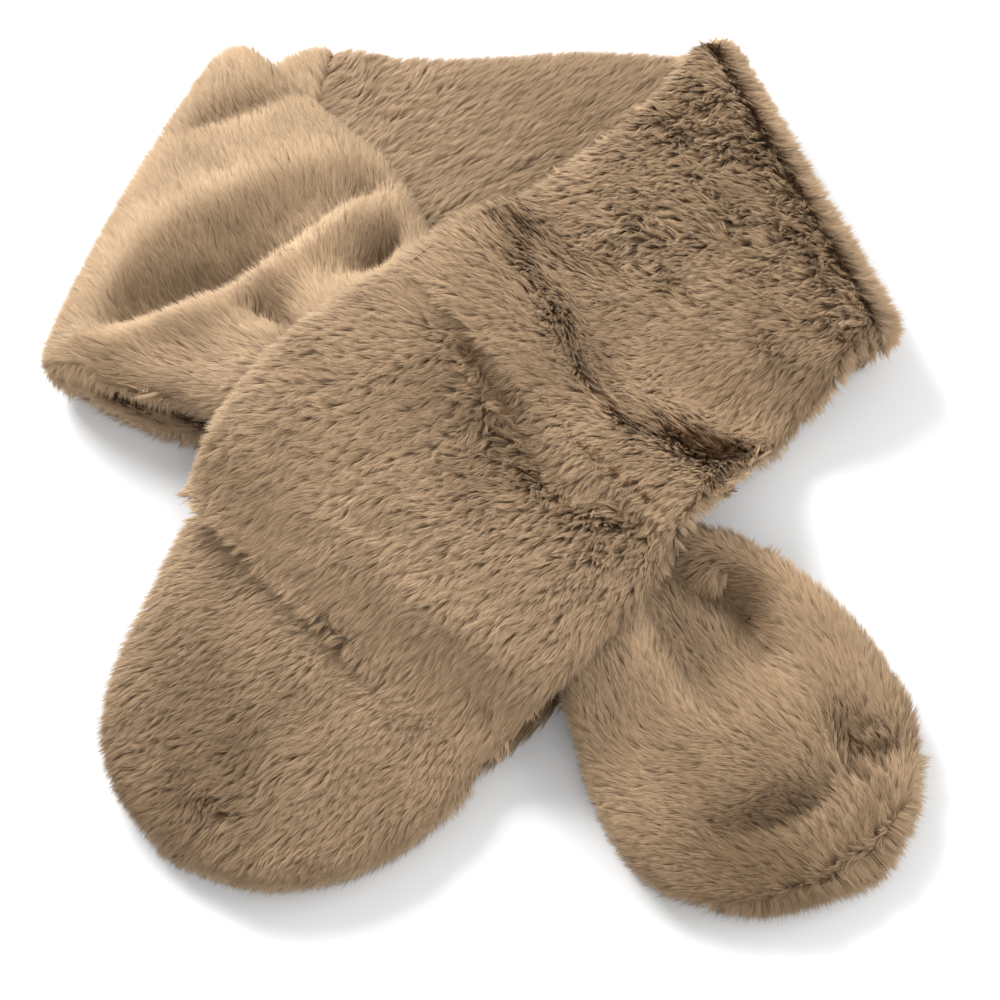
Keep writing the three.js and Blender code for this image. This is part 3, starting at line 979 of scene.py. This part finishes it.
@dataclass
class LeftFront(Stretch):
    """The left side, folded over at its fold and gathered into the slot."""

    node: str = "left_front"
    slot: FurSlot = FurSlot.LEFT
    hold: Hold = Hold.FOLDED
    flat: tuple[float, float] = (0.32, 0.27)
    rests_on: tuple[str, ...] = ("neck_stretch", "slot_base")
    seed: int = 31
    strokes: tuple[Row, ...] = (
        (-158, 25, 148), (-148, 48, 125), (-129, 72, 119), (-115, 102, 117), (-99, 127, 116),
        (-74, 137, 119), (-53, 137, 121), (-35, 122, 108), (-98, 39, 138), (-126, 29, 141),
        (-141, 16, 163), (-108, 4, 178), (-85, 11, 191), (-78, 34, 123), (-58, 48, 108), (-47, 72, 98),
        (-34, 82, 87), (-31, 97, 83), (-22, 87, 87), (-71, 67, 116), (-69, 25, 123), (-38, 48, 100),
        (-29, 11, 137), (11, -33, 137),
    )
    creases: tuple[Trace, ...] = (
        Trace(((-162, 30), (-147, 60), (-134, 80), (-97, 98), (-60, 112), (-31, 112)), 16, 12, 1.6),
        Trace(((-139, 60), (-97, 83), (-45, 105)), 9, 9, 6),
        Trace(
            ((-152, 37), (-131, 44), (-112, 53), (-98, 59), (-73, 79), (-54, 95), (-44, 100)),
            13, 4, -10,
        ),
        Trace(((-148, 29), (-127, 38), (-114, 45), (-100, 49)), 3.5, 9, 3),
        Trace(((-98, 46), (-95, 56), (-86, 63), (-71, 71), (-55, 84), (-44, 92)), 4, 12, 3.5),
        Trace(((-84, 42), (-75, 35), (-64, 26)), 5, 4, -6),
        Trace(((-88, 36), (-79, 31), (-67, 24)), 3, 8, 2.5),
        Trace(((-42, 60), (-36, 70), (-32, 82)), 6, 4, -4.5),
        Trace(((-112, 118), (-105, 112), (-97, 110)), 4, 6, -2),
        Trace(
            ((-173, 33), (-168, 27), (-157, 26), (-149, 21), (-141, 15), (-130, 8), (-104, 1)),
            6, 5, -2.5,
        ),
        Trace(((-100, -9), (-94, -3), (-88, 2), (-80, 8)), 5, 5, -5),
        Trace(((-134, 133), (-107, 143), (-75, 155)), 5, 7, -3),
    )
    # Painted shade in the troughs and painted light on the banks and ridges of the folds.
    painted_shading: tuple[Trace, ...] = (
        Trace(((-146, 42), (-118, 53), (-99, 61), (-76, 79)), 11, 4, -0.50),
        Trace(((-84, 42), (-75, 35), (-64, 26)), 5, 4, -0.20),
        Trace(((-168, 28), (-150, 22), (-130, 8), (-104, 1)), 3, 4, -0.12),
        Trace(((-146, 29), (-126, 37), (-101, 47), (-82, 61), (-55, 80)), 4, 8, 0.14),
        Trace(((-160, 40), (-147, 66), (-128, 86), (-97, 103), (-60, 116), (-34, 112)), 9, 8, 0.10),
    )
    # The patches' tones are painted light, strongest on the nose, with light painted shade in a few
    # places.
    patches: tuple[Patch, ...] = (
        Patch(-136, 22, 20, 0.12),
        Patch(-64, 62, 20, 0.46),
        Patch(-96, 14, 18, 0.03, 0.15),
        Patch(-112, 152, 22, -0.04, 0.20),
        Patch(-40, 64, 10, -0.10),
        Patch(-150, 4, 16, -0.02, 0.30),
        Patch(-108, 124, 16, -0.05),
    )


@dataclass
class RightFront(Stretch):
    """The right side from its fold to the slot, lying over the others."""

    node: str = "right_front"
    slot: FurSlot = FurSlot.RIGHT
    hold: Hold = Hold.FOLDED
    flat: tuple[float, float] = (0.32, 0.20)
    rests_on: tuple[str, ...] = ("neck_stretch", "left_front")
    rough: float = 0.24
    seed: int = 41
    strokes: tuple[Row, ...] = (
        (70, 123, 219), (96, 133, 214), (130, 133, 211), (162, 117, 208), (94, 93, 206),
        (135, 83, 203), (166, 64, 208), (61, 93, 216), (48, 78, 209), (72, 54, 194), (112, 45, 191),
        (152, 31, 217), (158, 8, 235), (129, -10, 233), (104, -36, 231), (82, -1, 202), (51, 31, 189),
        (19, 59, 186), (35, 45, 186), (3, 49, 180), (-13, 45, 171), (89, -23, 227),
    )
    creases: tuple[Trace, ...] = (
        Trace(((53, 18), (59, 9), (66, -1)), 5, 3, -3),
        Trace(((115, -10), (104, -26), (93, -45)), 3, 3, -3.5),
        Trace(((40, 92), (62, 70), (84, 60), (104, 52)), 6, 8, -2),
        Trace(((30, 78), (52, 56), (74, 44)), 8, 7, 2),
        Trace(((104, 72), (128, 62), (150, 58)), 7, 9, -2),
    )
    # Painted light along the fold's rim and on the slopes beside the creases.
    painted_shading: tuple[Trace, ...] = (
        Trace(((30, 113), (49, 116), (64, 112)), 6, 7, 0.12),
        Trace(((40, 104), (61, 92)), 5, 6, 0.09),
        Trace(((100, 176), (115, 172), (148, 104), (164, 72), (176, 44), (166, 18)), 5, 4, 0.16),
        Trace(((34, -12), (58, -34), (82, -55)), 6, 5, 0.08),
    )
    # Painted shade in the openings of the brushed-up clumps.
    shaded_partings: tuple[Trace, ...] = (
        Trace(((99, 160), (111, 151)), 5, 5, -0.30),
        Trace(((119, 144), (123, 123)), 5, 5, -0.30),
        Trace(((125, 113), (138, 98)), 5, 6, -0.30),
        Trace(((128, 89), (137, 82)), 6, 6, -0.26),
        Trace(((144, 71), (151, 54)), 6, 6, -0.30),
        Trace(((138, 46), (152, 36), (165, 26)), 6, 6, -0.26),
        Trace(((79, 144), (98, 133)), 4, 6, -0.24),
        Trace(((69, 90), (83, 76)), 6, 6, -0.24),
        Trace(((58, 76), (68, 66)), 5, 5, -0.20),
        Trace(((80, 66), (97, 47)), 6, 5, -0.22),
        Trace(((119, 35), (133, 23)), 5, 5, -0.20),
        Trace(((98, 112), (112, 92)), 5, 5, -0.18),
        Trace(((96, 90), (112, 78)), 5, 5, -0.18),
    )
    # The patches' tones are painted shade over the brushed-up pile near the fold and painted light lower
    # down.
    patches: tuple[Patch, ...] = (
        Patch(118, 104, 40, -0.20, 0.40),
        Patch(92, 146, 22, -0.08, 0.35),
        Patch(146, 52, 26, -0.09, 0.30),
        Patch(68, 84, 20, -0.07, 0.30),
        Patch(88, 2, 34, 0.14),
        Patch(40, 62, 18, 0.10),
    )


@dataclass
class SlotBase(Stretch):
    """The lower panel of the slot, under the gathered left side."""

    node: str = "slot_base"
    slot: FurSlot = FurSlot.RIGHT
    hold: Hold = Hold.LAID
    flat: tuple[float, float] = (0.32, 0.12)
    rests_on: tuple[str, ...] = ("neck_stretch",)
    seed: int = 51
    strokes: tuple[Row, ...] = ((51, -74, 236), (11, -99, 237), (-68, -57, 224), (-89, -30, 219))


@dataclass
class SlotCover(Stretch):
    """The upper panel of the slot, over the gathered left side."""

    node: str = "slot_cover"
    slot: FurSlot = FurSlot.RIGHT
    hold: Hold = Hold.DRAPED
    flat: tuple[float, float] = (0.32, 0.15)
    rests_on: tuple[str, ...] = ("left_front", "right_tail", "slot_base")
    rough: float = 0.22
    seed: int = 61
    strokes: tuple[Row, ...] = (
        (-21, 35, 178), (-37, 26, 186), (-56, 12, 194), (-5, 8, 203), (19, -10, 208), (50, -36, 232),
        (73, -53, 241), (64, -70, 250), (49, -86, 241), (34, -53, 222), (3, -36, 211), (-28, -19, 208),
        (-59, -14, 199), (-79, -14, 194), (-94, -23, 189), (-93, -40, 195), (-66, -53, 215),
        (-34, -70, 221), (4, -86, 227), (-66, -32, 202),
    )
    creases: tuple[Trace, ...] = (
        Trace(((-112, -31), (-55, -85), (5, -139)), 8, 8, 3.2),
        Trace(((-29, -78), (-18, -88), (-8, -96), (1, -103), (11, -111), (18, -119)), 9, 3, 2.5),
        Trace(((-20, 42), (3, 19), (19, -8), (40, -33), (84, -57)), 4, 8, -4),
        Trace(((-3, 44), (24, 7), (49, -23), (82, -55)), 5, 4, 2),
        Trace(((-44, -49), (-37, -52), (-30, -57)), 3, 3, -2.2),
        Trace(((-66, -54), (-53, -59)), 3, 3, -2.2),
    )
    # Painted light on the ridges beside the furrow and the seam, painted shade on the slope between
    # them.
    painted_shading: tuple[Trace, ...] = (
        Trace(((-29, -80), (-8, -98), (15, -119)), 3, 5, 0.07),
        Trace(((-43, -75), (-18, -95), (10, -120)), 6, 6, -0.10),
        Trace(((0, 44), (24, 9), (49, -21), (82, -52)), 4, 5, 0.14),
    )
    # Painted shade in the openings of the clumps, mostly along the furrow.
    shaded_partings: tuple[Trace, ...] = (
        Trace(((-11, 30), (3, 17), (12, 4)), 6, 8, -0.26),
        Trace(((16, 2), (22, -18), (32, -34)), 6, 12, -0.34),
        Trace(((44, -42), (62, -46), (80, -54)), 5, 8, -0.28),
        Trace(((-4, -114), (8, -121)), 5, 5, -0.26),
    )
    # The patches' tones are painted shade by the furrow and painted light on the smooth cover.
    patches: tuple[Patch, ...] = (
        Patch(12, -14, 24, -0.29, 0.45),
        Patch(52, -58, 20, -0.08, 0.35),
        Patch(-48, -20, 30, 0.18, 0.10),
        Patch(0, -74, 30, 0.14),
        Patch(-92, -30, 16, -0.02, 0.30),
    )


@dataclass
class LeftTail(Stretch):
    """The left-hand tail, from the slot to its round end."""

    node: str = "left_tail"
    slot: FurSlot = FurSlot.RIGHT
    hold: Hold = Hold.LAID
    flat: tuple[float, float] = (0.31, 0.10)
    rests_on: tuple[str, ...] = ()
    seed: int = 71
    strokes: tuple[Row, ...] = (
        (-110, -23, 191), (-100, -49, 215), (-67, -75, 221), (-122, -75, 219), (-142, -116, 222),
        (-104, -116, 223), (-65, -124, 228), (-27, -108, 230), (11, -92, 234), (-4, -132, 237),
        (-42, -148, 237), (-82, -163, 238), (-119, -175, 228), (-139, -156, 223),
    )
    creases: tuple[Trace, ...] = (
        Trace(((-112, -31), (-55, -85), (5, -139)), 8, 8, 3.2),
        Trace(
            ((-86, -66), (-72, -80), (-63, -91), (-55, -103), (-37, -117), (-13, -128)), 4, 10, 2.4
        ),
        Trace(((-128, -104), (-96, -132), (-70, -168)), 16, 16, -1.6),
    )
    # Painted light along the seam and painted shade along the broad trough.
    painted_shading: tuple[Trace, ...] = (
        Trace(((-86, -68), (-63, -93), (-37, -119), (-13, -130)), 3, 7, 0.18),
        Trace(((-106, -80), (-99, -101), (-86, -125)), 14, 12, -0.09),
    )
    # Painted shade in the openings of the clumps.
    shaded_partings: tuple[Trace, ...] = (
        Trace(((-103, -150), (-84, -159)), 5, 5, -0.16),
    )
    # The patches' tones are mostly painted shade over the tail.
    patches: tuple[Patch, ...] = (
        Patch(-96, -114, 34, -0.17),
        Patch(-104, -146, 32, -0.28, 0.10),
        Patch(-62, -168, 24, -0.05, 0.15),
        Patch(-20, -130, 22, 0.02, 0.15),
    )


@dataclass
class RightTail(Stretch):
    """The end of the left side that comes out of the slot, the right-hand tail."""

    node: str = "right_tail"
    slot: FurSlot = FurSlot.LEFT
    hold: Hold = Hold.GATHERED
    flat: tuple[float, float] = (0.30, 0.19)
    rests_on: tuple[str, ...] = ("slot_base",)
    rough: float = 0.10
    seed: int = 81
    strokes: tuple[Row, ...] = (
        (79, -42, 163), (90, -51, 158), (106, -49, 147), (113, -60, 152), (129, -60, 131),
        (81, -85, 148), (97, -76, 145), (112, -93, 147), (140, -76, 117), (146, -101, 110),
        (157, -110, 107), (165, -126, 95), (165, -149, 90), (140, -126, 131), (118, -118, 156),
        (117, -134, 164), (94, -141, 175), (72, -110, 109), (65, -93, 105), (64, -126, 117),
        (80, -126, 148), (82, -149, 185), (64, -153, 180), (108, -153, 178), (131, -153, 148),
        (146, -145, 105), (85, -176, 185), (122, -176, 170), (144, -172, 116),
    )
    creases: tuple[Trace, ...] = (
        Trace(
            ((72, -58), (87, -68), (94, -71), (104, -70), (110, -76), (113, -86), (117, -94)),
            3.5, 9, -8,
        ),
        Trace(((76, -50), (98, -60), (116, -68), (124, -84), (128, -98)), 9, 4, 2.5),
        Trace(((62, -75), (71, -86), (80, -99), (87, -111), (93, -119)), 9, 4, -3),
        Trace(((55, -72), (68, -98), (84, -122), (104, -138)), 5, 14, 2.5),
        Trace(((98, -167), (119, -161), (136, -154), (141, -146)), 5, 5, -3),
        Trace(((145, -122), (147, -132), (154, -139)), 4, 4, -4),
        Trace(((141, -134), (140, -150)), 4, 4, 2.5),
    )
    # Painted shade under the roll and in its crease, painted light on the ridges.
    painted_shading: tuple[Trace, ...] = (
        Trace(((76, -61), (94, -73), (106, -74), (113, -90)), 3, 6, -0.24),
        Trace(((62, -75), (80, -99), (93, -119)), 7, 4, -0.10),
        Trace(((141, -132), (140, -150)), 4, 4, 0.10),
        Trace(((60, -85), (78, -118), (104, -140)), 4, 8, 0.07),
    )
    # Painted shade in the openings of the clumps.
    shaded_partings: tuple[Trace, ...] = (
        Trace(((147, -135), (152, -143), (159, -153)), 5, 5, -0.28),
        Trace(((152, -126), (162, -140)), 5, 5, -0.24),
        Trace(((128, -168), (144, -164)), 4, 4, -0.18),
        Trace(((76, -44), (88, -46)), 4, 4, -0.20),
    )
    # The patches' tones are painted light and painted shade, darkest near the end of the tail.
    patches: tuple[Patch, ...] = (
        Patch(134, -78, 20, 0.10),
        Patch(94, -92, 17, -0.05),
        Patch(112, -118, 18, 0.0),
        Patch(64, -106, 20, 0.30),
        Patch(150, -132, 18, -0.08, 0.40),
        Patch(112, -178, 28, -0.46, 0.10),
        Patch(150, -160, 18, -0.10, 0.30),
    )


# ---- the studio ----


@dataclass(frozen=True)
class Lamp:
    """A square soft light.

    Attributes:
        name: its name.
        place: where it is, in metres.
        side: its size, in metres.
        power: its power, in watts.
        colour: its colour.
    """

    name: str
    place: Row
    side: float
    power: float
    colour: Row = (1.0, 1.0, 1.0)

    def hang(self, aim: Row) -> None:
        """Puts the light up, turned to a point.

        Args:
            aim: the point that it faces.
        """
        light = bpy.data.lights.new(self.name, "AREA")
        light.shape, light.size, light.energy, light.color = "SQUARE", self.side, self.power, self.colour
        holder = bpy.data.objects.new(self.name, light)
        holder.location = self.place
        way = Vector(aim) - Vector(self.place)
        holder.rotation_euler = way.to_track_quat("-Z", "Y").to_euler()
        bpy.context.scene.collection.objects.link(holder)


@dataclass(frozen=True)
class Studio:
    """A pale floor, soft lights and the camera, which looks down at the scarf from its front.

    Attributes:
        aim: the point that the camera looks at, in metres.
        distance: from the camera to that point.
        elevation: how steeply the camera looks down, in degrees.
        lens: focal length for a frame 36 mm wide.
        lamps: the lights.
        sky: brightness of the surroundings.
        floor: colour of the floor.
    """

    aim: Row = (0.01121, -0.03254, 0.020)
    distance: float = 0.8
    elevation: float = 65.0
    lens: float = 72.0
    sky: float = 0.66
    floor: Row = (0.86, 0.86, 0.86)
    lamps: tuple[Lamp, ...] = (
        Lamp("window", (-0.75, 0.95, 0.85), 0.6, 30.0),
        Lamp("side_fill", (1.2, 0.2, 0.8), 1.0, 9.0),
        Lamp("front_fill", (0.2, -1.2, 1.1), 1.2, 5.0),
    )

    def set_up(self) -> None:
        """Makes the floor, the lights and the camera."""
        scene = bpy.context.scene
        scene.view_settings.view_transform = "Standard"
        mesh = bpy.data.meshes.new("floor")
        mesh.from_pydata([(-6, -6, 0), (6, -6, 0), (6, 6, 0), (-6, 6, 0)], [], [(0, 1, 2, 3)])
        floor = bpy.data.objects.new("floor", mesh)
        mesh.materials.append(self._floor_material())
        scene.collection.objects.link(floor)
        for lamp in self.lamps:
            lamp.hang(self.aim)
        world = bpy.data.worlds.new("surroundings")
        world.use_nodes = True
        world.node_tree.nodes["Background"].inputs["Color"].default_value = (1.0, 1.0, 1.0, 1.0)
        world.node_tree.nodes["Background"].inputs["Strength"].default_value = self.sky
        scene.world = world
        scene.camera = self._camera()
        scene.collection.objects.link(scene.camera)

    def _floor_material(self) -> bpy.types.Material:
        """Makes the floor's matt, pale finish."""
        made = bpy.data.materials.new("pale_floor")
        made.use_nodes = True
        shader = made.node_tree.nodes["Principled BSDF"]
        shader.inputs["Base Color"].default_value = (*self.floor, 1.0)
        shader.inputs["Roughness"].default_value = 0.8
        shader.inputs["Specular IOR Level"].default_value = 0.2
        return made

    def _camera(self) -> bpy.types.Object:
        """Makes the camera at its distance and elevation from the aim."""
        camera = bpy.data.cameras.new("camera")
        camera.lens, camera.sensor_width = self.lens, 36.0
        holder = bpy.data.objects.new("camera", camera)
        tilt = math.radians(self.elevation)
        back = Vector((0.0, -math.cos(tilt), math.sin(tilt)))
        holder.location = Vector(self.aim) + back * self.distance
        holder.rotation_euler = (math.pi / 2 - tilt, 0.0, 0.0)
        return holder


@dataclass
class Scarf:
    """The whole scarf, from its stretches."""

    stretches: tuple[Stretch, ...] = field(
        default_factory=lambda: (
            NeckStretch(),
            SlotBase(),
            LeftFront(),
            RightTail(),
            SlotCover(),
            RightFront(),
            LeftTail(),
        )
    )

    def build(self, finishes: Finishes) -> int:
        """Makes every stretch.

        Args:
            finishes: the materials.

        Returns:
            How many pieces there are.
        """
        return sum(len(stretch.build(finishes)) for stretch in self.stretches)


def main() -> None:
    """Builds the studio and the scarf, and reports each stretch and the number of pieces."""
    logging.basicConfig(level=logging.INFO, format="%(message)s")
    Studio().set_up()
    pieces = Scarf().build(Finishes.mixed())
    LOG.info("%d pieces", pieces)


if __name__ == "__main__":
    main()
